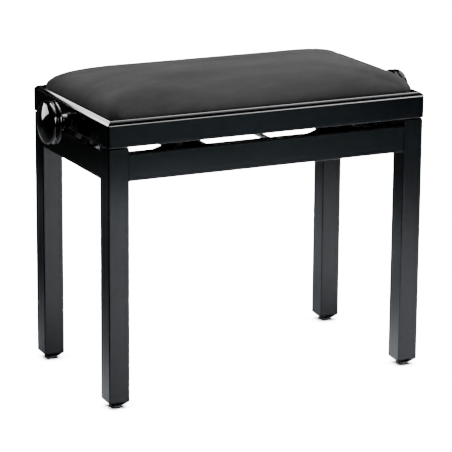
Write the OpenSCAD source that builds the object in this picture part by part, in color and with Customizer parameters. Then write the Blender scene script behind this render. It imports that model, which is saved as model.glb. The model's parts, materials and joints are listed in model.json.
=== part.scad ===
// Adjustable piano bench: a lacquered leg frame, and an upholstered seat that a double
// scissor under it raises and lowers. Two knobs on the ends of one spindle drive the scissor.
// Millimetres. Origin on the floor under the middle of the bench. X runs along the bench,
// Y from front to rear, Z up. The seat is drawn at its lowest setting.

/* [Seat frame] */
// Length of the seat frame, left to right
seat_length = 540; // [500:5:600]
// Depth of the seat frame, front to rear
seat_depth = 300; // [290:5:340]
// Height of the seat frame's underside above the floor
seat_base_z = 408.5; // [405:0.5:430]
// Height of the seat frame's outer face, up to its bevel
rail_height = 34.3; // [32:0.1:36]
// Width of the seat frame's rails
rail_width = 24; // [22:1:30]
// Width of the crowned bevel that leads up to the cushion
bevel_width = 5.6; // [4.5:0.1:6.5]
// Rise of the bevel
bevel_rise = 6.5; // [5:0.1:7.5]
// Radius of the bevel's crown
bevel_crown = 14; // [11:1:30]
// Radius of the two edges of the bevel
bevel_edge = 2.5; // [1:0.1:2.6]
// Width of the flat border between the bevel and the cushion
border_width = 2.6; // [2:0.1:4]

/* [Leg frame] */
// Side of the square legs
leg_size = 34; // [30:1:40]
// Radius of the legs' upright edges
leg_edge = 2; // [1:0.5:4]
// Bevel around the foot of each leg
foot_bevel = 7; // [5:0.5:10]
// Overhang of the seat frame beyond the legs
overhang = 1; // [1:0.5:5]
// Gap between the leg tops and the seat frame at the lowest setting
leg_gap = 2; // [2:0.5:4]
// Gap between the apron tops and the leg tops
apron_drop = 9; // [6:1:12]
// Height of the aprons
apron_height = 42; // [40:1:60]
// Thickness of the aprons
apron_thickness = 20; // [18:1:22]
// Diameter of the glides under the legs
glide_diameter = 21; // [16:1:24]
// Height of the glides
glide_height = 4.5; // [3:0.5:6]

/* [Scissor] */
// Length of a scissor arm between its end pivots
arm_length = 170; // [150:5:175]
// Slope of the arms at the lowest setting, in degrees
rest_angle = 18; // [17:0.5:19]
// Width of the arms
arm_width = 18; // [16:1:18]
// Thickness of the arms
arm_thickness = 4; // [3:0.5:4]
// Radius of the pivot pins and shafts
pin_radius = 4; // [3.5:0.1:4.2]
// Radius of the spindle
spindle_radius = 5; // [4:0.5:5.5]

/* [Knobs] */
// Largest radius of a knob
knob_radius = 34; // [28:1:38]
// Distance from the seat frame to the knob's rim
knob_gap = 22; // [18:1:26]

/* [Cushion] */
// Gap between the border and the cushion's widest line
cushion_gap = 0.6; // [0.4:0.1:2]
// Height of the cushion above the seat board
cushion_height = 47; // [35:1:55]
// Thickness of the cover
cover_thickness = 2; // [1.5:0.5:3]

/* [Hidden] */
$fn = 48;
fit = 0.02;       // gap where a piece is fixed in its hole
running = 0.06;   // radial gap where a pin turns in its hole
sliding = 0.3;    // radial gap where a rod slides in a slot, and at the open pivot
cut = 1;          // how far a cutter runs past the face that it cuts

half_length = seat_length / 2;
half_depth = seat_depth / 2;
leg_x = half_length - overhang;               // outer faces of the legs
leg_y = half_depth - overhang;
leg_top = seat_base_z - leg_gap;
apron_top = leg_top - apron_drop;
apron_base = apron_top - apron_height;
apron_setback = 1;
apron_edge = 1.5;
apron_x = leg_x - apron_setback;              // outer faces of the aprons
apron_y = leg_y - apron_setback;
inside_y = apron_y - apron_thickness;         // inner face of the front and rear aprons

dowel_radius = 4;
dowel_reach = 14;                             // how deep a dowel sits in each piece
dowel_heights = [apron_base + 12, apron_base + 30];

sheet = 2;                                    // thickness of the pressed steel rails
rail_end = leg_x - leg_size - 3;              // the steel rails stop short of the legs
lower_z = apron_base + 14;                    // height of the lower pivots
upper_z = lower_z + arm_length * sin(rest_angle);
outer_pivot = half_length - 53;               // distance of the outer pivots from the middle
inner_pivot = outer_pivot - arm_length * cos(rest_angle);
cross_x = (outer_pivot + inner_pivot) / 2;    // where the two arms of a scissor cross
cross_z = (lower_z + upper_z) / 2;
raised_angle = 57;
slot_end = outer_pivot - arm_length * cos(raised_angle) + 5;
slot_start = inner_pivot - 5;

upper_web_y = 98;                             // outer side of the upper rails' webs
inner_arm_y = 104;                            // outer side of the inner arms
outer_arm_y = 110;                            // outer side of the outer arms
lower_web_y = 112;                            // inner side of the lower rails' webs
head_radius = 6;
head_thickness = 1.5;
head_gap = 0.2;

plan_round = 3;                               // radius of the seat frame's corners, seen from above
low_edge = 1.5;                               // radius of the rails' lower outer edge
rebate_u = bevel_width + border_width;        // where the rail steps down to the board
rail_top = rail_height + bevel_rise;          // height of the rails, up to the border

// middles of the bevel's crown and of its two edges, in the rails' section
bevel_slope = atan2(bevel_rise, bevel_width);
bevel_reach = sqrt(pow(bevel_crown, 2) - (pow(bevel_width, 2) + pow(bevel_rise, 2)) / 4);
crown_u = bevel_width / 2 + bevel_reach * sin(bevel_slope);
crown_v = rail_height + bevel_rise / 2 - bevel_reach * cos(bevel_slope);
inner_crown = bevel_crown - bevel_edge;
outer_v = crown_v + sqrt(pow(inner_crown, 2) - pow(crown_u - bevel_edge, 2));
upper_v = rail_top - bevel_edge;
upper_u = crown_u - sqrt(pow(inner_crown, 2) - pow(upper_v - crown_v, 2));
outer_turn = atan2(outer_v - crown_v, bevel_edge - crown_u);
upper_turn = atan2(upper_v - crown_v, upper_u - crown_u);
board_z = seat_base_z + 26.5;
board_thickness = 9;
board_top = board_z + board_thickness;
board_x = half_length - rebate_u - 0.3;
board_y = half_depth - rebate_u - 0.3;

screw_radius = 2;
screw_head = 3.6;
rail_screw_x = [200, 75, -75, -200];
rail_screw_z = apron_base + 32;
flange_screw_y = 86;

bushing_radius = 9;
bushing_flange = 12;
bushing_lip = 2;
collar_radius = 9;
collar_width = 8;
collar_end = half_length - rail_width - sliding;
hub_radius = 11;
knob_face = half_length + knob_gap;           // where the knob's rim begins
rim_round = 4.5;                              // a knob is a rounded rim with a domed lobe on it
dome_round = 7.5;
dome_radius = 70;
dome_height = 27;
bore_depth = 15;
spindle_half = knob_face + bore_depth - 0.5;
nut_size = 22;
bar_size = 12;
strap_width = 26;
strap_x = outer_pivot - 6;

// the cushion's outline, from the board up: [share of the height, inset along X, inset along Y]
cushion_levels = [
    [0, 1.5, 1.5], [0.12, 0, 0.5], [0.3, 1, 5], [0.5, 9, 16],
    [0.68, 24, 31], [0.83, 56, 51], [0.94, 100, 80], [1, 130, 100]
];
corner_round = 16;

lacquer = "#15151a";
velvet = "#3d3d3d";
raw_wood = "#c49a6c";
stained_wood = "#24211f";
black_steel = "#26282b";
zinc = "#b9bcc0";
nylon = "#1c1c1c";

// ---- shared shapes ----

module rounded_plate(x, y, r) {
    square([x - 2 * r, y], center = true);
    square([x, y - 2 * r], center = true);
    for (sx = [-1, 1], sy = [-1, 1])
        translate([sx * (x / 2 - r), sy * (y / 2 - r)]) circle(r);
}

// a cylinder along X, from x0 to x1
module rod_x(r, x0, x1) {
    translate([x0, 0, 0]) rotate([0, 90, 0]) cylinder(r = r, h = x1 - x0);
}

// a cylinder along Y, from y0 to y1
module rod_y(r, y0, y1) {
    translate([0, y1, 0]) rotate([90, 0, 0]) cylinder(r = r, h = y1 - y0);
}

// a round-ended slot along X, cut through from y0 to y1
module slot_y(r, x0, x1, y0, y1) {
    translate([x0, 0, 0]) rod_y(r, y0, y1);
    translate([x1, 0, 0]) rod_y(r, y0, y1);
    translate([x0, y0, -r]) cube([x1 - x0, y1 - y0, 2 * r]);
}

module on_left_and_right() {
    children();
    mirror([1, 0, 0]) children();
}

module on_front_and_rear() {
    children();
    mirror([0, 1, 0]) children();
}

module on_four_corners() {
    on_left_and_right() on_front_and_rear() children();
}

// ---- leg frame ----

// dowels of the front left leg: two into the front apron and two into the side apron
module corner_dowels(extra, reach) {
    for (z = dowel_heights) {
        translate([0, -apron_y + apron_thickness / 2, z])
            rod_x(dowel_radius + extra, -leg_x + leg_size - reach, -leg_x + leg_size + reach);
        translate([-apron_x + apron_thickness / 2, 0, z])
            rod_y(dowel_radius + extra, -leg_y + leg_size - reach, -leg_y + leg_size + reach);
    }
}

module glide_screw_shape(extra) {
    translate([-leg_x + leg_size / 2, -leg_y + leg_size / 2, 1.8]) {
        cylinder(r = screw_radius + extra, h = 20 + extra);
        cylinder(r = screw_head + extra, h = 1.6 + extra);
    }
}

// the front left leg; the others are its mirror images
module leg() {
    difference() {
        translate([-leg_x + leg_size / 2, -leg_y + leg_size / 2, glide_height])
            difference() {
                linear_extrude(leg_top - glide_height) rounded_plate(leg_size, leg_size, leg_edge);
                for (turn = [0, 90, 180, 270])
                    rotate([0, 0, turn]) translate([leg_size / 2, 0, foot_bevel])
                        rotate([0, 45, 0]) translate([0, -leg_size, -2 * foot_bevel])
                            cube([foot_bevel * 2, 2 * leg_size, 4 * foot_bevel]);
            }
        corner_dowels(fit, dowel_reach + 1);
        glide_screw_shape(fit);
    }
}

// the apron across the front, between the legs
module long_apron() {
    inner_end = leg_x - leg_size;
    difference() {
        translate([-inner_end, -apron_y + apron_thickness / 2, apron_base + apron_height / 2])
            rotate([90, 0, 90]) linear_extrude(2 * inner_end)
                rounded_plate(apron_thickness, apron_height, apron_edge);
        on_left_and_right() corner_dowels(fit, dowel_reach + 1);
        rail_screws(fit);
    }
}

// the apron across the left end, between the legs
module short_apron() {
    inner_end = leg_y - leg_size;
    difference() {
        translate([-apron_x + apron_thickness / 2, inner_end, apron_base + apron_height / 2])
            rotate([90, 0, 0]) linear_extrude(2 * inner_end)
                rounded_plate(apron_thickness, apron_height, apron_edge);
        on_front_and_rear() corner_dowels(fit, dowel_reach + 1);
    }
}

module leg_front_left() { color(lacquer) leg(); }
module leg_front_right() { color(lacquer) mirror([1, 0, 0]) leg(); }
module leg_rear_left() { color(lacquer) mirror([0, 1, 0]) leg(); }
module leg_rear_right() { color(lacquer) mirror([1, 0, 0]) mirror([0, 1, 0]) leg(); }
module apron_front() { color(lacquer) long_apron(); }
module apron_rear() { color(lacquer) mirror([0, 1, 0]) long_apron(); }
module apron_left() { color(lacquer) short_apron(); }
module apron_right() { color(lacquer) mirror([1, 0, 0]) short_apron(); }
module apron_dowels() { color(raw_wood) on_four_corners() corner_dowels(0, dowel_reach); }

// a round glide with a softened rim, under the front left leg
module glide() {
    rim = 1.5;
    r = glide_diameter / 2;
    difference() {
        translate([-leg_x + leg_size / 2, -leg_y + leg_size / 2, 0]) rotate_extrude() {
            square([r - rim, glide_height]);
            translate([0, rim]) square([r, glide_height - rim]);
            intersection() {
                translate([r - rim, rim]) circle(rim);
                square([r, glide_height]);
            }
        }
        glide_screw_shape(fit);
        translate([-leg_x + leg_size / 2, -leg_y + leg_size / 2, -cut])
            cylinder(r = screw_head + fit, h = 2 + cut);
    }
}

module glide_front_left() { color(nylon) glide(); }
module glide_front_right() { color(nylon) mirror([1, 0, 0]) glide(); }
module glide_rear_left() { color(nylon) mirror([0, 1, 0]) glide(); }
module glide_rear_right() { color(nylon) mirror([1, 0, 0]) mirror([0, 1, 0]) glide(); }
module glide_screws() { color(zinc) on_four_corners() glide_screw_shape(0); }

// ---- fixed half of the scissor ----

// screws of the front lower rail, into the apron
module rail_screws(extra) {
    for (x = rail_screw_x)
        translate([x, 0, rail_screw_z]) {
            rod_y(screw_radius + extra, -inside_y - 12 - extra, -inside_y + sheet + extra);
            rod_y(screw_head, -inside_y + sheet, -inside_y + sheet + 2);
        }
}

// rivets that hold the left strap under the front lower rail
module corner_rivets(extra) {
    for (x = [-8, 8])
        translate([-strap_x + x, -(inside_y + lower_web_y) / 2, lower_z - 14])
            cylinder(r = 1.8 + extra, h = 7);
}

module long_lower_rail() {
    tall = 36;
    low = 22;
    depth = inside_y - lower_web_y;
    base = lower_z - 10;
    difference() {
        translate([-rail_end, 0, base]) {
            translate([0, -inside_y, 0]) cube([2 * rail_end, sheet, tall]);
            translate([0, -inside_y, 0]) cube([2 * rail_end, depth, sheet]);
            translate([0, -lower_web_y - sheet, 0]) cube([2 * rail_end, sheet, low]);
        }
        translate([0, 0, lower_z]) on_left_and_right() {
            translate([-outer_pivot, 0, 0])
                rod_y(pin_radius + fit, -lower_web_y - sheet - cut, -lower_web_y + cut);
            slot_y(pin_radius + sliding, -slot_end, -slot_start,
                   -lower_web_y - sheet - cut, -lower_web_y + cut);
        }
        for (x = rail_screw_x)
            translate([x, 0, rail_screw_z])
                rod_y(screw_radius + fit, -inside_y - cut, -inside_y + sheet + cut);
        on_left_and_right() corner_rivets(fit);
    }
}

module lower_strap() {
    difference() {
        translate([-strap_x - strap_width / 2, -inside_y, lower_z - 12])
            cube([strap_width, 2 * inside_y, sheet]);
        on_front_and_rear() corner_rivets(fit);
    }
}

module lower_rail_front() { color(black_steel) long_lower_rail(); }
module lower_rail_rear() { color(black_steel) mirror([0, 1, 0]) long_lower_rail(); }
module lower_strap_left() { color(black_steel) lower_strap(); }
module lower_strap_right() { color(black_steel) mirror([1, 0, 0]) lower_strap(); }
module lower_rail_screws() { color(zinc) on_front_and_rear() rail_screws(0); }
module strap_rivets() { color(zinc) on_four_corners() corner_rivets(0); }

// a rod across the bench with a riveted head outside each lower web
module cross_rod(x, gap) {
    translate([x, 0, lower_z]) {
        rod_y(pin_radius, -lower_web_y - sheet - gap - head_thickness,
              lower_web_y + sheet + gap + head_thickness);
        on_front_and_rear()
            rod_y(head_radius, -lower_web_y - sheet - gap - head_thickness,
                  -lower_web_y - sheet - gap);
    }
}

module pivot_shaft_left() { color(zinc) cross_rod(-outer_pivot, fit); }
module pivot_shaft_right() { color(zinc) cross_rod(outer_pivot, fit); }
module slide_rod_left() { color(zinc) cross_rod(-inner_pivot, sliding); }
module slide_rod_right() { color(zinc) cross_rod(inner_pivot, sliding); }

// ---- scissor arms ----

// an arm along +X from its first pivot, with the radii of its three holes
module arm(first, middle, last) {
    rotate([90, 0, 0]) linear_extrude(arm_thickness) difference() {
        union() {
            circle(arm_width / 2);
            translate([arm_length, 0]) circle(arm_width / 2);
            translate([0, -arm_width / 2]) square([arm_length, arm_width]);
        }
        circle(first);
        translate([arm_length / 2, 0]) circle(middle);
        translate([arm_length, 0]) circle(last);
    }
}

// outer arm: pivots on the leg frame, carries the crosshead at its inner, upper end
module arm_a() {
    translate([-outer_pivot, -outer_arm_y + arm_thickness, lower_z]) rotate([0, -rest_angle, 0])
        arm(pin_radius + running, pin_radius + fit, pin_radius + running);
}

// inner arm: carries the slide rod at its lower end, pivots on the seat at its outer end
module arm_b(seat_gap) {
    translate([-inner_pivot, -inner_arm_y + arm_thickness, lower_z])
        rotate([0, rest_angle - 180, 0])
            arm(pin_radius + fit, pin_radius + running, pin_radius + seat_gap);
}

module arm_a_front_left() { color(black_steel) arm_a(); }
module arm_a_rear_left() { color(black_steel) mirror([0, 1, 0]) arm_a(); }
module arm_a_front_right() { color(black_steel) mirror([1, 0, 0]) arm_a(); }
module arm_a_rear_right() { color(black_steel) mirror([1, 0, 0]) mirror([0, 1, 0]) arm_a(); }
module arm_b_front_left() { color(black_steel) arm_b(running); }
module arm_b_rear_left() { color(black_steel) mirror([0, 1, 0]) arm_b(running); }
module arm_b_front_right() { color(black_steel) mirror([1, 0, 0]) arm_b(sliding); }
module arm_b_rear_right() { color(black_steel) mirror([1, 0, 0]) mirror([0, 1, 0]) arm_b(sliding); }

// a pin along Y with a head at each end, clear of the plates between the heads
module headed_pin(y_inner, y_outer) {
    rod_y(pin_radius, -y_outer - head_gap, -y_inner + head_gap);
    rod_y(head_radius, -y_outer - head_gap - head_thickness, -y_outer - head_gap);
    rod_y(head_radius, -y_inner + head_gap, -y_inner + head_gap + head_thickness);
}

module cross_pins() {
    on_front_and_rear() translate([-cross_x, 0, cross_z])
        headed_pin(inner_arm_y - arm_thickness, outer_arm_y);
}

module upper_pins() {
    on_front_and_rear() translate([-outer_pivot, 0, upper_z])
        headed_pin(upper_web_y - sheet, inner_arm_y);
}

module cross_pins_left() { color(zinc) cross_pins(); }
module cross_pins_right() { color(zinc) mirror([1, 0, 0]) cross_pins(); }
module upper_pins_left() { color(zinc) upper_pins(); }
module upper_pins_right() { color(zinc) mirror([1, 0, 0]) upper_pins(); }

// a square bar with a nut in the middle and a journal at each end
module crosshead() {
    bar_half = upper_web_y - sheet - 0.5;
    translate([-inner_pivot, 0, upper_z]) difference() {
        union() {
            cube([bar_size, 2 * bar_half, bar_size], center = true);
            cube([nut_size, nut_size, nut_size - 2], center = true);
            on_front_and_rear() {
                rod_y(pin_radius, -outer_arm_y - head_gap, -bar_half + cut);
                rod_y(head_radius, -outer_arm_y - head_gap - head_thickness,
                      -outer_arm_y - head_gap);
            }
        }
        rod_x(spindle_radius + running, -nut_size, nut_size);
    }
}

module crosshead_left() { color(black_steel) crosshead(); }
module crosshead_right() { color(black_steel) mirror([1, 0, 0]) crosshead(); }

// ---- seat ----

// cross-section of a seat rail: u runs inwards from the outer face, v up from the underside
module rail_section() {
    crown = [crown_u, crown_v];
    outer_end = crown + bevel_crown * [cos(outer_turn), sin(outer_turn)];
    upper_end = crown + bevel_crown * [cos(upper_turn), sin(upper_turn)];
    difference() {
        union() {
            polygon([[low_edge, 0], [rail_width, 0], [rail_width, rail_top], [upper_u, rail_top],
                     [upper_u, upper_v], upper_end, outer_end, [bevel_edge, outer_v],
                     [0, outer_v], [0, low_edge]]);
            translate([low_edge, low_edge]) circle(low_edge);
            translate([bevel_edge, outer_v]) circle(bevel_edge);
            translate([upper_u, upper_v]) circle(bevel_edge);
            intersection() {
                translate(crown) circle(bevel_crown);
                polygon([crown, crown + 1.3 * (outer_end - crown),
                         crown + 1.3 * (upper_end - crown)]);
            }
        }
        translate([rebate_u, board_z - seat_base_z]) square([rail_width, rail_height]);
    }
}

// the splines glued across the four mitres
module splines(extra) {
    on_four_corners()
        translate([-half_length + rail_width / 2, -half_depth + rail_width / 2,
                   seat_base_z + rail_height / 3])
            rotate([0, 0, 45]) cube([10 + extra, 16 + extra, 4 + extra], center = true);
}

module mitred(points) {
    intersection() {
        children();
        translate([0, 0, seat_base_z - cut]) linear_extrude(rail_top + 2 * cut)
            intersection() {
                polygon(points);
                rounded_plate(seat_length, seat_depth, plan_round);
            }
    }
}

module long_seat_rail() {
    difference() {
        mitred([[-half_length, -half_depth], [half_length, -half_depth],
                [half_length - half_depth, 0], [half_depth - half_length, 0]])
            translate([-half_length, -half_depth, seat_base_z])
                rotate([90, 0, 90]) linear_extrude(seat_length) rail_section();
        splines(fit);
        board_screw_set(fit);
    }
}

module short_seat_rail() {
    difference() {
        mitred([[-half_length, -half_depth], [half_depth - half_length, 0],
                [-half_length, half_depth]])
            translate([-half_length, half_depth, seat_base_z])
                rotate([90, 0, 0]) linear_extrude(seat_depth) rail_section();
        splines(fit);
        board_screw_set(fit);
        translate([0, 0, upper_z])
            rod_x(bushing_radius + fit, -half_length - cut, -half_length + rail_width + cut);
    }
}

module board_screw_set(extra) {
    inset = rail_width - 6.5;
    on_front_and_rear() for (x = [-180, -60, 60, 180])
        translate([x, -half_depth + inset, 0]) board_screw(extra);
    on_left_and_right() for (y = [-60, 60])
        translate([-half_length + inset, y, 0]) board_screw(extra);
}

module board_screw(extra) {
    translate([0, 0, board_top - 22 - extra]) cylinder(r = screw_radius + extra, h = 20 + extra);
    translate([0, 0, board_top - 2.5]) cylinder(r = screw_head + extra, h = 2.3);
}

module seat_rail_front() { color(lacquer) long_seat_rail(); }
module seat_rail_rear() { color(lacquer) mirror([0, 1, 0]) long_seat_rail(); }
module seat_rail_left() { color(lacquer) short_seat_rail(); }
module seat_rail_right() { color(lacquer) mirror([1, 0, 0]) short_seat_rail(); }
module corner_splines() { color(raw_wood) splines(0); }

module seat_board() {
    color(stained_wood) difference() {
        translate([0, 0, board_z]) linear_extrude(board_thickness)
            square([2 * board_x, 2 * board_y], center = true);
        board_screw_set(fit);
        for (x = [-180, -60, 60, 180], y = [-60, 0, 60])
            translate([x, y, board_z - cut]) cylinder(r = 4, h = board_thickness + 2 * cut);
        upper_screw_set(fit);
    }
}

module board_screws() { color(zinc) board_screw_set(0); }

// the cushion's outer form, drawn in by a margin all round and lowered by a drop
module cushion_form(margin, drop) {
    full_x = 2 * (half_length - rebate_u - cushion_gap);
    full_y = 2 * (half_depth - rebate_u - cushion_gap);
    hull() for (level = cushion_levels)
        translate([0, 0, board_top + 0.3 + level[0] * cushion_height - drop])
            linear_extrude(0.1, $fn = 32)
                rounded_plate(full_x - 2 * (level[1] + margin), full_y - 2 * (level[2] + margin),
                              corner_round);
}

module seat_cover() {
    color(velvet) difference() {
        cushion_form(0, 0);
        cushion_form(cover_thickness, cover_thickness);
    }
}

module seat_foam() {
    color("#e8dcb0") intersection() {
        cushion_form(cover_thickness + 0.2, cover_thickness + 0.2);
        translate([-half_length, -half_depth, board_top + 0.2])
            cube([seat_length, seat_depth, 2 * cushion_height]);
    }
}

// ---- lifting half of the scissor ----

// screws up through the upper rails' flanges into the board
module upper_screw_set(extra) {
    on_front_and_rear() for (x = rail_screw_x)
        translate([x, -flange_screw_y, board_z - sheet]) {
            cylinder(r = screw_radius + extra, h = sheet + 7 + extra);
            translate([0, 0, -2]) cylinder(r = screw_head, h = 2);
        }
}

module long_upper_rail() {
    web_base = upper_z - 12;
    flange = 22;
    difference() {
        translate([-rail_end, -upper_web_y, 0]) {
            translate([0, 0, web_base]) cube([2 * rail_end, sheet, board_z - web_base]);
            translate([0, 0, board_z - sheet]) cube([2 * rail_end, flange, sheet]);
        }
        translate([0, 0, upper_z]) on_left_and_right() {
            translate([-outer_pivot, 0, 0])
                rod_y(pin_radius + fit, -upper_web_y - cut, -upper_web_y + sheet + cut);
            slot_y(pin_radius + sliding, -slot_end, -slot_start,
                   -upper_web_y - cut, -upper_web_y + sheet + cut);
        }
        for (x = rail_screw_x)
            translate([x, -flange_screw_y, board_z - sheet - cut])
                cylinder(r = screw_radius + fit, h = sheet + 2 * cut);
    }
}

module upper_rail_front() { color(black_steel) long_upper_rail(); }
module upper_rail_rear() { color(black_steel) mirror([0, 1, 0]) long_upper_rail(); }
module upper_rail_screws() { color(zinc) upper_screw_set(0); }

// flanged bushing in the left seat rail
module bushing() {
    translate([-half_length, 0, upper_z]) difference() {
        union() {
            rod_x(bushing_radius, 0, rail_width);
            rod_x(bushing_flange, -bushing_lip, 0);
        }
        rod_x(spindle_radius + running, -2 * bushing_lip, rail_width + cut);
    }
}

module bushing_left() { color(nylon) bushing(); }
module bushing_right() { color(nylon) mirror([1, 0, 0]) bushing(); }

// ---- spindle and knobs ----

module spindle() {
    color(zinc) translate([0, 0, upper_z]) rod_x(spindle_radius, -spindle_half, spindle_half);
}

module collar_screw_shape(extra) {
    translate([-collar_end + collar_width / 2, 0, upper_z + spindle_radius + 0.1])
        cylinder(r = 1.5 + extra, h = collar_radius - spindle_radius - 0.1);
}

module spindle_collars() {
    color(zinc) on_left_and_right() difference() {
        translate([0, 0, upper_z]) rod_x(collar_radius, -collar_end, -collar_end + collar_width);
        translate([0, 0, upper_z])
            rod_x(spindle_radius + fit, -collar_end - cut, -collar_end + collar_width + cut);
        collar_screw_shape(fit);
    }
}

module collar_screws() { color(black_steel) on_left_and_right() collar_screw_shape(0); }

// half section of a knob: radius across, height out from the rim's back face
module knob_section() {
    rim_r = knob_radius - rim_round;
    dome_r = knob_radius - dome_round - 0.3;
    dome_centre = dome_height - dome_radius;
    dome_h = dome_centre + sqrt(pow(dome_radius - dome_round, 2) - pow(dome_r, 2));
    square([rim_r, 2 * rim_round]);
    translate([rim_r, rim_round]) circle(rim_round);
    translate([dome_r, dome_h]) circle(dome_round);
    translate([0, rim_round]) square([dome_r, dome_h - rim_round]);
    intersection() {
        translate([0, dome_centre]) circle(dome_radius, $fn = 200);
        square([dome_r * dome_radius / (dome_radius - dome_round), dome_height + cut]);
    }
    translate([0, bushing_lip + sliding - knob_gap])
        square([hub_radius, knob_gap - bushing_lip - sliding + cut]);
}

module knob() {
    translate([knob_face, 0, upper_z]) rotate([0, 90, 0]) difference() {
        rotate_extrude($fn = 96) knob_section();
        translate([0, 0, -knob_gap]) cylinder(r = spindle_radius + fit, h = knob_gap + bore_depth);
    }
}

module knob_left() { color(lacquer) mirror([1, 0, 0]) knob(); }
module knob_right() { color(lacquer) knob(); }

leg_front_left();
leg_front_right();
leg_rear_left();
leg_rear_right();
apron_front();
apron_rear();
apron_left();
apron_right();
apron_dowels();
glide_front_left();
glide_front_right();
glide_rear_left();
glide_rear_right();
glide_screws();
lower_rail_front();
lower_rail_rear();
lower_strap_left();
lower_strap_right();
lower_rail_screws();
strap_rivets();
pivot_shaft_left();
pivot_shaft_right();
seat_rail_front();
seat_rail_rear();
seat_rail_left();
seat_rail_right();
corner_splines();
seat_board();
board_screws();
seat_foam();
seat_cover();
upper_rail_front();
upper_rail_rear();
upper_rail_screws();
upper_pins_left();
upper_pins_right();
bushing_left();
bushing_right();
spindle();
spindle_collars();
collar_screws();
knob_left();
knob_right();
arm_a_front_left();
arm_a_rear_left();
arm_a_front_right();
arm_a_rear_right();
arm_b_front_left();
arm_b_rear_left();
arm_b_front_right();
arm_b_rear_right();
cross_pins_left();
cross_pins_right();
slide_rod_left();
slide_rod_right();
crosshead_left();
crosshead_right();
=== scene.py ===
"""Looks of the adjustable piano bench: lacquer, velvet cushion, lifting mechanism and studio.

Metres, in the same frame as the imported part: +X along the bench, +Y to the rear, +Z up,
origin on the floor under the middle of the bench.
"""
import json
import math

import bmesh
import bpy
from mathutils import Matrix, Vector


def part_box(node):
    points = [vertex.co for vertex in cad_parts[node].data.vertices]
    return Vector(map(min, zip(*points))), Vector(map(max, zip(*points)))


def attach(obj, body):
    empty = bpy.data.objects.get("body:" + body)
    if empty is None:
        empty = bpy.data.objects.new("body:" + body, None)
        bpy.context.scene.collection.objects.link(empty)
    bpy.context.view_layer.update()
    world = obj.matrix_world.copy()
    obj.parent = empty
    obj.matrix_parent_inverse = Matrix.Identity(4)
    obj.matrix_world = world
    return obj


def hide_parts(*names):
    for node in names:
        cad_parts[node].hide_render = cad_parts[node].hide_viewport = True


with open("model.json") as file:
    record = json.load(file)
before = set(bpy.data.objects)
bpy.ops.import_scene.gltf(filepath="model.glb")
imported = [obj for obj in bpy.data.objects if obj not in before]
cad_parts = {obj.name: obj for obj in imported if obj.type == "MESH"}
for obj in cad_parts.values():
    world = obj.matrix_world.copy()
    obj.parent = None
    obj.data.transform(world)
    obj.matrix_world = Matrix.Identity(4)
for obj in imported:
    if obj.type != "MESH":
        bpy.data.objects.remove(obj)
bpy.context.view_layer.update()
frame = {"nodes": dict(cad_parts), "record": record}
nodes = frame["nodes"]
scene = bpy.context.scene

MM = 0.001


# ---- camera ----

CAMERA_PLACE = Vector((-1.6228, -3.3203, 1.2227))
CAMERA_HEADING = math.radians(26.06)   # from +Y towards +X
CAMERA_TILT = math.radians(-14.01)
CAMERA_ROLL = math.radians(0.46)
CAMERA_SHIFT = (-0.0045, -0.1018)      # in image widths
SENSOR_MM = 36.0
LENS_MM = 190.7363
VIEW_DEPTH = 60.0


def make_camera():
    data = bpy.data.cameras.new("camera")
    data.sensor_width = SENSOR_MM
    data.lens = LENS_MM
    data.shift_x, data.shift_y = CAMERA_SHIFT
    data.clip_end = VIEW_DEPTH
    camera = bpy.data.objects.new("camera", data)
    scene.collection.objects.link(camera)
    forward = Vector((
        math.sin(CAMERA_HEADING) * math.cos(CAMERA_TILT),
        math.cos(CAMERA_HEADING) * math.cos(CAMERA_TILT),
        math.sin(CAMERA_TILT),
    ))
    level = Vector((math.cos(CAMERA_HEADING), -math.sin(CAMERA_HEADING), 0.0))
    above = level.cross(forward)
    right = level * math.cos(CAMERA_ROLL) + above * math.sin(CAMERA_ROLL)
    up = above * math.cos(CAMERA_ROLL) - level * math.sin(CAMERA_ROLL)
    turn = Matrix((right, up, -forward)).transposed().to_4x4()
    camera.matrix_world = Matrix.Translation(CAMERA_PLACE) @ turn
    scene.camera = camera


# ---- shader parts ----

EVEN = (1.0, 1.0, 1.0)


def grey(tone):
    return (tone, tone, tone)


def shader_nodes(name):
    """A new material, its node tree and its Principled shader."""
    material = bpy.data.materials.new(name)
    material.use_nodes = True
    tree = material.node_tree
    return material, tree, tree.nodes["Principled BSDF"]


def noise(tree, scale, detail=3.0, stretch=EVEN, seed=0.0):
    """Noise over the object's own coordinates; the seed moves it sideways."""
    place = tree.nodes.new("ShaderNodeTexCoord")
    mapping = tree.nodes.new("ShaderNodeMapping")
    mapping.inputs["Scale"].default_value = stretch
    mapping.inputs["Location"].default_value = (seed, 0.7 * seed, -0.4 * seed)
    texture = tree.nodes.new("ShaderNodeTexNoise")
    texture.inputs["Scale"].default_value = scale
    texture.inputs["Detail"].default_value = detail
    tree.links.new(place.outputs["Object"], mapping.inputs["Vector"])
    tree.links.new(mapping.outputs["Vector"], texture.inputs["Vector"])
    return texture.outputs["Fac"]


def remap(tree, value, low, high, start=0.3, end=0.7):
    """The value, stretched from start..end to low..high."""
    node = tree.nodes.new("ShaderNodeMapRange")
    node.inputs["From Min"].default_value = start
    node.inputs["From Max"].default_value = end
    node.inputs["To Min"].default_value = low
    node.inputs["To Max"].default_value = high
    tree.links.new(value, node.inputs["Value"])
    return node.outputs["Result"]


def ramp(tree, value, dark, light, start=0.3, end=0.7):
    """A colour that goes from dark to light as the value goes from start to end."""
    node = tree.nodes.new("ShaderNodeValToRGB")
    first, last = node.color_ramp.elements
    first.position = start
    first.color = (*dark, 1.0)
    last.position = end
    last.color = (*light, 1.0)
    tree.links.new(value, node.inputs["Fac"])
    return node.outputs["Color"]


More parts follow.
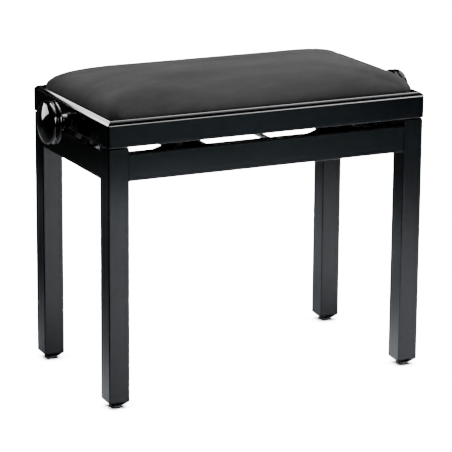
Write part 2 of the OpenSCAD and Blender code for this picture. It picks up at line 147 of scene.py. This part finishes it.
def bump(tree, shader, height, strength, distance):
    """Fine relief; the distance is its full height in metres."""
    node = tree.nodes.new("ShaderNodeBump")
    node.inputs["Strength"].default_value = strength
    node.inputs["Distance"].default_value = distance
    tree.links.new(height, node.inputs["Height"])
    tree.links.new(node.outputs["Normal"], shader.inputs["Normal"])


# ---- materials ----

def lacquer_material():
    """Polished black polyester lacquer, with faint orange peel and polishing haze."""
    material, tree, shader = shader_nodes("black_lacquer")
    haze = noise(tree, 9.0, 5.0, seed=1.3)
    tone = ramp(tree, haze, (0.0022, 0.0024, 0.0034), (0.0040, 0.0043, 0.0060))
    tree.links.new(tone, shader.inputs["Base Color"])
    tree.links.new(remap(tree, haze, 0.05, 0.09), shader.inputs["Roughness"])
    shader.inputs["IOR"].default_value = 1.28
    bump(tree, shader, noise(tree, 260.0, 2.0), 0.04, 0.0002)
    return material


def knob_material():
    """Polished black moulded plastic."""
    material, tree, shader = shader_nodes("knob_gloss")
    haze = noise(tree, 30.0, 4.0, seed=4.0)
    tone = ramp(tree, haze, (0.0020, 0.0020, 0.0026), (0.0036, 0.0036, 0.0046))
    tree.links.new(tone, shader.inputs["Base Color"])
    tree.links.new(remap(tree, haze, 0.03, 0.06), shader.inputs["Roughness"])
    shader.inputs["IOR"].default_value = 1.32
    bump(tree, shader, noise(tree, 400.0, 2.0), 0.02, 0.0001)
    return material


def velvet_material():
    """Charcoal velvet: short pile, brushed lighter and darker in patches."""
    material, tree, shader = shader_nodes("velvet")
    brushed = noise(tree, 9.0, 8.0, stretch=(0.8, 2.4, 1.0), seed=5.5)
    tone = ramp(tree, brushed, grey(0.037), grey(0.065), 0.32, 0.68)
    pile = noise(tree, 900.0, 2.0, stretch=(1.0, 0.5, 1.0), seed=8.0)
    mix = tree.nodes.new("ShaderNodeMix")
    mix.data_type = "RGBA"
    mix.blend_type = "MULTIPLY"
    mix.inputs["Factor"].default_value = 0.6
    tree.links.new(tone, mix.inputs["A"])
    tree.links.new(ramp(tree, pile, grey(0.62), grey(1.0), 0.35, 0.65), mix.inputs["B"])
    tree.links.new(mix.outputs["Result"], shader.inputs["Base Color"])
    shader.inputs["Roughness"].default_value = 0.95
    shader.inputs["Sheen Weight"].default_value = 0.14
    shader.inputs["Sheen Roughness"].default_value = 0.5
    shader.inputs["Sheen Tint"].default_value = (0.75, 0.75, 0.76, 1.0)
    shader.inputs["Specular IOR Level"].default_value = 0.1
    bump(tree, shader, pile, 0.35, 0.0004)
    return material


def grain_material(name, dark, light, scale):
    """Bare wood, with its grain along X."""
    material, tree, shader = shader_nodes(name)
    grain = noise(tree, scale, 6.0, stretch=(0.12, 1.0, 1.0), seed=5.0)
    tree.links.new(ramp(tree, grain, dark, light, 0.32, 0.66), shader.inputs["Base Color"])
    tree.links.new(remap(tree, grain, 0.62, 0.78), shader.inputs["Roughness"])
    bump(tree, shader, grain, 0.25, 0.0004)
    return material


def metal_material(name, dark, light, rough, metallic):
    """Metal, bare or powder coated, with uneven tone and roughness."""
    material, tree, shader = shader_nodes(name)
    uneven = noise(tree, 60.0, 5.0, seed=3.0)
    tree.links.new(ramp(tree, uneven, dark, light), shader.inputs["Base Color"])
    tree.links.new(remap(tree, uneven, *rough), shader.inputs["Roughness"])
    shader.inputs["Metallic"].default_value = metallic
    bump(tree, shader, noise(tree, 900.0, 2.0), 0.12, 0.0001)
    return material


def nylon_material():
    """Black moulded nylon, satin."""
    material, tree, shader = shader_nodes("black_nylon")
    mottle = noise(tree, 80.0, 4.0, seed=6.0)
    tone = ramp(tree, mottle, (0.010, 0.010, 0.011), (0.018, 0.018, 0.019))
    tree.links.new(tone, shader.inputs["Base Color"])
    tree.links.new(remap(tree, mottle, 0.38, 0.50), shader.inputs["Roughness"])
    bump(tree, shader, noise(tree, 700.0, 2.0), 0.10, 0.0002)
    return material


def foam_material():
    """Open-cell upholstery foam."""
    material, tree, shader = shader_nodes("foam")
    cells = noise(tree, 500.0, 3.0, seed=7.0)
    tone = ramp(tree, cells, (0.55, 0.48, 0.28), (0.72, 0.66, 0.42))
    tree.links.new(tone, shader.inputs["Base Color"])
    shader.inputs["Roughness"].default_value = 0.95
    bump(tree, shader, cells, 0.5, 0.0006)
    return material


def make_materials():
    """One material for each of the record's slots."""
    return {
        "black_lacquer": lacquer_material(),
        "knob_gloss": knob_material(),
        "velvet": velvet_material(),
        "foam": foam_material(),
        "plywood": grain_material("plywood", (0.012, 0.011, 0.010), (0.026, 0.024, 0.022), 40.0),
        "beech": grain_material("beech", (0.42, 0.26, 0.15), (0.60, 0.42, 0.26), 90.0),
        "mechanism_black": metal_material(
            "mechanism_black", (0.012, 0.012, 0.013), (0.022, 0.022, 0.024), (0.30, 0.42), 0.0),
        "zinc_hardware": metal_material(
            "zinc_hardware", (0.42, 0.43, 0.44), (0.60, 0.61, 0.63), (0.28, 0.42), 1.0),
        "bright_steel": metal_material(
            "bright_steel", (0.38, 0.38, 0.39), (0.56, 0.56, 0.57), (0.22, 0.34), 1.0),
        "black_nylon": nylon_material(),
    }


def dress_nodes(materials):
    """Gives each CAD node the material of its slot in the record."""
    slots = {s["node"]: s["material_slot"] for s in frame["record"]["subparts"]}
    for name, piece in nodes.items():
        piece.data.materials.clear()
        piece.data.materials.append(materials[slots[name]])


# ---- mesh parts ----

def bridge(shape, first, second):
    """Faces from one ring of vertices to the next; a ring of one vertex is a pole."""
    count = max(len(first), len(second))
    for step in range(count):
        after = (step + 1) % count
        corners = [first[step % len(first)], first[after % len(first)],
                   second[after % len(second)], second[step % len(second)]]
        shape.faces.new(list(dict.fromkeys(corners)))


def bridge_all(shape, rings):
    for first, second in zip(rings, rings[1:]):
        bridge(shape, first, second)


def finish_mesh(name, shape):
    """A smooth-shaded object from the bmesh."""
    mesh = bpy.data.meshes.new(name)
    shape.to_mesh(mesh)
    shape.free()
    mesh.polygons.foreach_set("use_smooth", [True] * len(mesh.polygons))
    piece = bpy.data.objects.new(name, mesh)
    scene.collection.objects.link(piece)
    return piece


# ---- turned knobs ----

SPINDLE_RADIUS = 5.0                   # millimetres, as the thread's other sizes
SPINDLE_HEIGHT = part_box("spindle")[0][2] + SPINDLE_RADIUS * MM
KNOB_FACE = 292.0 * MM                 # from the middle of the bench to the back of the knob's rim
KNOB_SEGMENTS = 160


def arc(centre, radius, start, end, steps):
    """Points of an arc in a section, angles in degrees."""
    points = []
    for step in range(steps + 1):
        angle = math.radians(start + (end - start) * step / steps)
        points.append((centre[0] + radius * math.cos(angle), centre[1] + radius * math.sin(angle)))
    return points


def knob_profile():
    """Half section of a knob in millimetres: (radius, distance out from the rim's back)."""
    profile = [(0.0, -19.7)]
    profile += arc((10.0, -18.7), 1.0, -90.0, 0.0, 4)
    profile += [(11.0, -8.0)]
    profile += arc((13.0, -2.0), 2.0, 180.0, 90.0, 5)
    profile += [(20.0, 0.0)]
    profile += arc((29.5, 4.5), 4.5, -90.0, 62.0, 20)
    profile += [(31.7, 8.5)]
    profile += arc((26.2, 13.74), 7.5, -42.0, 65.2, 26)
    profile += arc((0.0, -43.0), 70.0, 66.3, 90.0, 18)
    return profile


def spindle_ring(shape, x, radii):
    """Vertices around the spindle's line at x; one radius in metres for each."""
    ring = []
    for step, radius in enumerate(radii):
        angle = 2.0 * math.pi * step / len(radii)
        ring.append(shape.verts.new(
            (x, radius * math.cos(angle), SPINDLE_HEIGHT + radius * math.sin(angle))))
    return ring


def turned_knob(name, side):
    """A knob as a solid of revolution, at the left (-1) or right (1) end."""
    shape = bmesh.new()
    rings = []
    for radius, out in knob_profile():
        x = side * (KNOB_FACE + out * MM)
        at_middle = radius < 1e-6
        rings.append(spindle_ring(shape, x, [radius * MM] * (1 if at_middle else KNOB_SEGMENTS)))
    bridge_all(shape, rings)
    bmesh.ops.recalc_face_normals(shape, faces=shape.faces)
    return finish_mesh(name, shape)


def make_knobs(materials):
    """The left and the right knob."""
    knobs = []
    for side, end in ((-1, "left"), (1, "right")):
        knob = turned_knob("turned_knob_" + end, side)
        knob.data.materials.append(materials["knob_gloss"])
        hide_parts("knob_" + end)
        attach(knob, "spindle")
        knobs.append(knob)
    return knobs


# ---- threaded spindle, in millimetres ----

THREAD_START = 26.0                    # from the middle of the spindle
THREAD_END = 222.0
THREAD_PITCH = 4.0
THREAD_DEPTH = 1.1
THREAD_RUNOUT = 3.0
THREAD_STEP = 0.5
SPINDLE_SEGMENTS = 20
SPINDLE_CHAMFER = 0.8


def thread_radius(x, angle):
    """Radius of the spindle: plain journals, a left-hand and a right-hand thread."""
    reach = abs(x)
    if reach < THREAD_START or reach > THREAD_END:
        return SPINDLE_RADIUS
    hand = 1.0 if x > 0 else -1.0
    phase = (x / THREAD_PITCH - hand * angle / (2.0 * math.pi)) % 1.0
    flank = min(1.0, max(0.0, abs(phase - 0.5) * 4.0 - 0.5))
    fade = min(1.0, (reach - THREAD_START) / THREAD_RUNOUT, (THREAD_END - reach) / THREAD_RUNOUT)
    return SPINDLE_RADIUS - THREAD_DEPTH * flank * fade


def spindle_places(low, high):
    """Where along X the spindle has a ring: close together on the threads only."""
    places = [low, low + SPINDLE_CHAMFER]
    plain = THREAD_START - THREAD_STEP
    place = -THREAD_END
    while place <= THREAD_END:
        places.append(place)
        place += THREAD_STEP if abs(place) >= plain else plain
    places += [high - SPINDLE_CHAMFER, high]
    return sorted(set(round(value, 3) for value in places))


def make_spindle(materials):
    low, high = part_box("spindle")
    places = spindle_places(low[0] / MM, high[0] / MM)
    shape = bmesh.new()
    rings = []
    for x in places:
        chamfer = SPINDLE_CHAMFER if x in (places[0], places[-1]) else 0.0
        angles = [2.0 * math.pi * step / SPINDLE_SEGMENTS for step in range(SPINDLE_SEGMENTS)]
        radii = [(thread_radius(x, angle) - chamfer) * MM for angle in angles]
        rings.append(spindle_ring(shape, x * MM, radii))
    bridge_all(shape, rings)
    shape.faces.new(rings[0])
    shape.faces.new(rings[-1])
    bmesh.ops.recalc_face_normals(shape, faces=shape.faces)
    spindle = finish_mesh("threaded_spindle", shape)
    spindle.data.materials.append(materials["bright_steel"])
    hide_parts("spindle")
    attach(spindle, "spindle")


# ---- cushion ----

# the cushion's outline, from the board up: share of its height, inset along X and along Y in mm
CUSHION_LEVELS = [
    (0.0, 2.0, 2.0), (0.12, 0.0, 0.5), (0.3, 1.0, 5.0), (0.5, 9.0, 16.0),
    (0.68, 24.0, 31.0), (0.83, 56.0, 51.0), (0.94, 100.0, 80.0), (1.0, 130.0, 100.0),
]
CUSHION_HEIGHT = 47.0 * MM
CUSHION_CORNER = 16.0 * MM
CUSHION_VOXEL = 5.0 * MM

TACKED_HEIGHT = 5.0 * MM               # the cover is held to the board up to here
FILL_PRESSURE = 4.0
FILL_FRAMES = 20
FILL_SHARE = 0.25                      # how much of the simulated swelling is kept
FILL_LIMIT = 5.0 * MM

PLEAT_DEPTH = 1.8 * MM
PLEAT_HALF_WIDTH = 3.6 * MM
PLEAT_REACH = 60.0 * MM                # from the corner, along both edges
PLEAT_FULL_TO = 0.1                    # shares of the cushion's height
PLEAT_FADES_OVER = 0.65
PLEAT_SLOPE = 0.6                      # how far the press leans down, against sideways


def corner_ring(half_x, half_y, radius, steps=10):
    """A rounded rectangle, anticlockwise from above."""
    ring = []
    for quarter, (sx, sy) in enumerate(((1, 1), (-1, 1), (-1, -1), (1, -1))):
        for step in range(steps + 1):
            angle = math.pi / 2.0 * (quarter + step / steps)
            ring.append((
                sx * (half_x - radius) + radius * math.cos(angle),
                sy * (half_y - radius) + radius * math.sin(angle),
            ))
    return ring


def cushion_blank(half_x, half_y, base):
    """The cushion's crowned form, closed underneath."""
    shape = bmesh.new()
    rings = []
    for share, inset_x, inset_y in CUSHION_LEVELS:
        z = base + share * CUSHION_HEIGHT
        ring = corner_ring(half_x - inset_x * MM, half_y - inset_y * MM, CUSHION_CORNER)
        rings.append([shape.verts.new((x, y, z)) for x, y in ring])
    bridge_all(shape, rings)
    shape.faces.new(list(reversed(rings[0])))
    shape.faces.new(rings[-1])
    return finish_mesh("velvet_cushion", shape)


def even_mesh(piece):
    """Replaces the mesh by an even one with eased edges."""
    remesh = piece.modifiers.new("even_mesh", "REMESH")
    remesh.mode = "VOXEL"
    remesh.voxel_size = CUSHION_VOXEL
    smooth = piece.modifiers.new("ease", "SMOOTH")
    smooth.factor = 0.5
    smooth.iterations = 14
    evaluated = piece.evaluated_get(bpy.context.evaluated_depsgraph_get())
    made = bpy.data.meshes.new_from_object(evaluated)
    piece.modifiers.clear()
    piece.data = made


def positions(mesh):
    return [vertex.co.copy() for vertex in mesh.vertices]


def pad_cushion(piece, base):
    """Fills the cover by a short cloth simulation with air pressure inside it."""
    edge = piece.vertex_groups.new(name="tacked")
    held = [v.index for v in piece.data.vertices if v.co.z < base + TACKED_HEIGHT]
    edge.add(held, 1.0, "REPLACE")
    before = positions(piece.data)
    cloth = piece.modifiers.new("padding", "CLOTH")
    settings = cloth.settings
    settings.quality = 6
    settings.mass = 0.25
    settings.tension_stiffness = 18.0
    settings.compression_stiffness = 18.0
    settings.shear_stiffness = 8.0
    settings.bending_stiffness = 0.6
    settings.vertex_group_mass = "tacked"
    settings.use_pressure = True
    settings.uniform_pressure_force = FILL_PRESSURE
    settings.effector_weights.gravity = 0.0
    cloth.collision_settings.use_collision = False
    cloth.collision_settings.use_self_collision = False
    cloth.point_cache.frame_start = 1
    cloth.point_cache.frame_end = FILL_FRAMES
    for frame_number in range(1, FILL_FRAMES + 1):
        scene.frame_set(frame_number)
    evaluated = piece.evaluated_get(bpy.context.evaluated_depsgraph_get())
    after = positions(evaluated.data)
    piece.modifiers.clear()
    scene.frame_set(1)
    for vertex, start, end in zip(piece.data.vertices, before, after):
        step = FILL_SHARE * (end - start)
        if step.length > FILL_LIMIT:
            step *= FILL_LIMIT / step.length
        vertex.co = start + step


def fold_corners(piece, half_x, half_y, base):
    """Presses a soft pleat into the cover at each corner, deepest at the edge of the seat."""
    for vertex in piece.data.vertices:
        past_x = abs(vertex.co.x) - (half_x - CUSHION_CORNER)
        past_y = abs(vertex.co.y) - (half_y - CUSHION_CORNER)
        if min(past_x, past_y) < -PLEAT_REACH:
            continue
        across = (past_x - past_y) / math.sqrt(2.0)
        rise = (vertex.co.z - base) / CUSHION_HEIGHT
        fade = max(0.0, 1.0 - max(0.0, rise - PLEAT_FULL_TO) / PLEAT_FADES_OVER)
        press = PLEAT_DEPTH * fade * math.exp(-(across / PLEAT_HALF_WIDTH) ** 2)
        outward = Vector((
            math.copysign(1.0, vertex.co.x), math.copysign(1.0, vertex.co.y), PLEAT_SLOPE))
        vertex.co -= press * outward.normalized()


def make_cushion(materials):
    low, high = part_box("seat_cover")
    half_x, half_y, base = high[0], high[1], low[2]
    cushion = cushion_blank(half_x, half_y, base)
    even_mesh(cushion)
    pad_cushion(cushion, base)
    fold_corners(cushion, half_x, half_y, base)
    refine = cushion.modifiers.new("refine", "SUBSURF")
    refine.levels = 1
    refine.render_levels = 1
    cushion.data.polygons.foreach_set("use_smooth", [True] * len(cushion.data.polygons))
    cushion.data.materials.clear()
    cushion.data.materials.append(materials["velvet"])
    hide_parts("seat_cover", "seat_foam")
    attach(cushion, "seat")
    return cushion


# ---- floor and backdrop ----

FLOOR_RADIUS = 14.0
BACKDROP_RADIUS = 13.9                 # just inside the floor's edge
BACKDROP_DEPTH = 16.0                  # half of it above the floor
SHEEN_FLOOR_HEIGHT = -2.0 * MM
ROUND_SEGMENTS = 96


def make_disc(name, height):
    """A wide pale disc with faint mottling."""
    shape = bmesh.new()
    bmesh.ops.create_circle(shape, cap_ends=True, segments=ROUND_SEGMENTS, radius=FLOOR_RADIUS)
    bmesh.ops.translate(shape, verts=shape.verts, vec=(0.0, 0.0, height))
    disc = finish_mesh(name, shape)
    material, tree, shader = shader_nodes("pale_" + name)
    tone = ramp(tree, noise(tree, 3.0, 4.0), grey(0.7872), grey(0.8528))
    tree.links.new(tone, shader.inputs["Base Color"])
    shader.inputs["Roughness"].default_value = 0.9
    shader.inputs["Specular IOR Level"].default_value = 0.1
    disc.data.materials.append(material)
    return disc


def make_backdrop():
    """A white wall around the floor, seen past its edge in low views."""
    shape = bmesh.new()
    bmesh.ops.create_cone(shape, cap_ends=False, segments=ROUND_SEGMENTS,
                          radius1=BACKDROP_RADIUS, radius2=BACKDROP_RADIUS, depth=BACKDROP_DEPTH)
    backdrop = finish_mesh("backdrop", shape)
    material, tree, shader = shader_nodes("white_backdrop")
    shader.inputs["Base Color"].default_value = (*grey(0.8), 1.0)
    shader.inputs["Emission Color"].default_value = (*grey(1.0), 1.0)
    shader.inputs["Emission Strength"].default_value = 20.0
    backdrop.data.materials.append(material)
    backdrop.visible_glossy = False
    backdrop.visible_diffuse = False
    backdrop.visible_shadow = False


# ---- lights ----

POOL_LAMP_HEIGHT = 1.2
NEUTRAL_COOL = (0.90, 0.95, 1.0)
BLUE_GREEN = (0.72, 0.92, 1.0)

# pools of light on the reflected floor: (place, size, radiance, spread in degrees, tint)
POOLS = {
    "pool_front": ((0.23, -0.66), (1.02, 1.45), 5.2, 32.0, NEUTRAL_COOL),
    "pool_beyond": ((0.60, -2.00), (1.10, 1.50), 1.15, 40.0, BLUE_GREEN),
    "pool_rear": ((0.36, 0.85), (1.10, 1.20), 1.7, 32.0, NEUTRAL_COOL),
    "pool_left": ((-0.38, 0.20), (0.55, 0.60), 0.5, 30.0, NEUTRAL_COOL),
    "pool_far_left": ((-0.74, 0.90), (0.50, 0.70), 0.22, 30.0, NEUTRAL_COOL),
}

# panels that only show as reflections: (place, target, roll in degrees, size, radiance)
GLINTS = {
    "over_rear": ((0.70, 0.55, 1.72), (0.0, -0.1, 0.44), 0.0, (1.2, 0.9), 20.0),
    "front_low": ((0.76, -1.70, 1.09), (0.0, -0.15, 0.44), 0.0, (1.4, 1.0), 45.0),
    "rear_left": ((-0.36, 0.38, 0.69), (-0.36, 0.0, 0.69), 0.0, (0.5, 0.23), 16.0),
    "side_box": ((-1.13, 0.95, 0.76), (-0.31, 0.0, 0.42), 38.0, (0.70, 0.76), 24.0),
}


def make_softbox(name, place, target, size, radiance, spread=180.0):
    """A rectangular softbox of even radiance, facing the target."""
    data = bpy.data.lights.new(name, "AREA")
    data.shape = "RECTANGLE"
    data.size, data.size_y = size
    data.energy = radiance * math.pi * size[0] * size[1]
    data.spread = math.radians(spread)
    light = bpy.data.objects.new(name, data)
    scene.collection.objects.link(light)
    aim = Vector(target) - Vector(place)
    turn = aim.to_track_quat("-Z", "Y").to_matrix().to_4x4()
    light.matrix_world = Matrix.Translation(place) @ turn
    light.visible_camera = False
    return light


def link_only(light, pieces, state):
    """Lets the light reach only these pieces (INCLUDE), or everything but them (EXCLUDE)."""
    group = bpy.data.collections.new(light.name + "_reach")
    for piece in pieces:
        group.objects.link(piece)
    light.light_linking.receiver_collection = group
    for entry in group.collection_objects:
        entry.light_linking.link_state = state


def cast_only(light, casters):
    """Only these objects throw a shadow in this light."""
    group = bpy.data.collections.new(light.name + "_casters")
    for caster in casters:
        group.objects.link(caster)
    light.light_linking.blocker_collection = group


def make_world():
    world = bpy.data.worlds.new("studio")
    world.use_nodes = True
    background = world.node_tree.nodes["Background"]
    background.inputs["Color"].default_value = (0.9, 0.93, 1.0, 1.0)
    background.inputs["Strength"].default_value = 0.03
    scene.world = world


def light_floor(floor, feet):
    """Wide even light on the white floor, with soft shadows at the feet."""
    sun = bpy.data.lights.new("floor_light", "SUN")
    sun.energy = 90.0
    sun.angle = math.radians(70.0)
    light = bpy.data.objects.new("floor_light", sun)
    scene.collection.objects.link(light)
    link_only(light, [floor], "INCLUDE")
    cast_only(light, feet)


def light_sheen_floor(sheen_floor, feet):
    for name, (place, size, radiance, spread, tint) in POOLS.items():
        above = (*place, POOL_LAMP_HEIGHT)
        pool = make_softbox(name, above, (*place, 0.0), size, radiance, spread)
        pool.data.color = tint
        link_only(pool, [sheen_floor], "INCLUDE")
        cast_only(pool, feet)


def light_gloss(floors, knobs):
    """Reflections in the lacquer and the knobs."""
    rails = [piece for name, piece in nodes.items() if name.startswith("seat_rail")]
    only_for = {"front_low": rails + knobs, "rear_left": rails}
    far_knob = knobs[1]
    for name, (place, target, roll, size, radiance) in GLINTS.items():
        glint = make_softbox(name, place, target, size, radiance)
        glint.matrix_world = glint.matrix_world @ Matrix.Rotation(math.radians(roll), 4, "Z")
        glint.visible_diffuse = False
        if name in only_for:
            link_only(glint, only_for[name], "INCLUDE")
        else:
            # the far knob stays dark
            link_only(glint, floors + [far_knob], "EXCLUDE")


def make_studio(knobs, cushion):
    make_world()
    feet = [piece for name, piece in nodes.items() if name.startswith(("leg_", "glide_"))]

    # the white floor, and a dimmer one under it that the gloss reflects
    floor = make_disc("floor", 0.0)
    floor.visible_glossy = False
    floor.visible_diffuse = False
    sheen_floor = make_disc("sheen_floor", SHEEN_FLOOR_HEIGHT)
    sheen_floor.visible_camera = False
    sheen_floor.visible_shadow = False
    make_backdrop()

    light_floor(floor, feet)
    light_sheen_floor(sheen_floor, feet)
    key = make_softbox("key", (0.80, 0.15, 1.95), (0.0, 0.0, 0.45), (1.5, 1.7), 5.4)
    link_only(key, [floor, sheen_floor], "EXCLUDE")
    # soft light on the near sides of the cushion
    fill = make_softbox("cushion_fill", (-0.8, -1.9, 1.0), (0.0, 0.0, 0.47), (1.6, 1.0), 2.5)
    link_only(fill, [cushion], "INCLUDE")
    light_gloss([floor, sheen_floor], knobs)


make_camera()
materials = make_materials()
dress_nodes(materials)
knobs = make_knobs(materials)
make_spindle(materials)
cushion = make_cushion(materials)
make_studio(knobs, cushion)
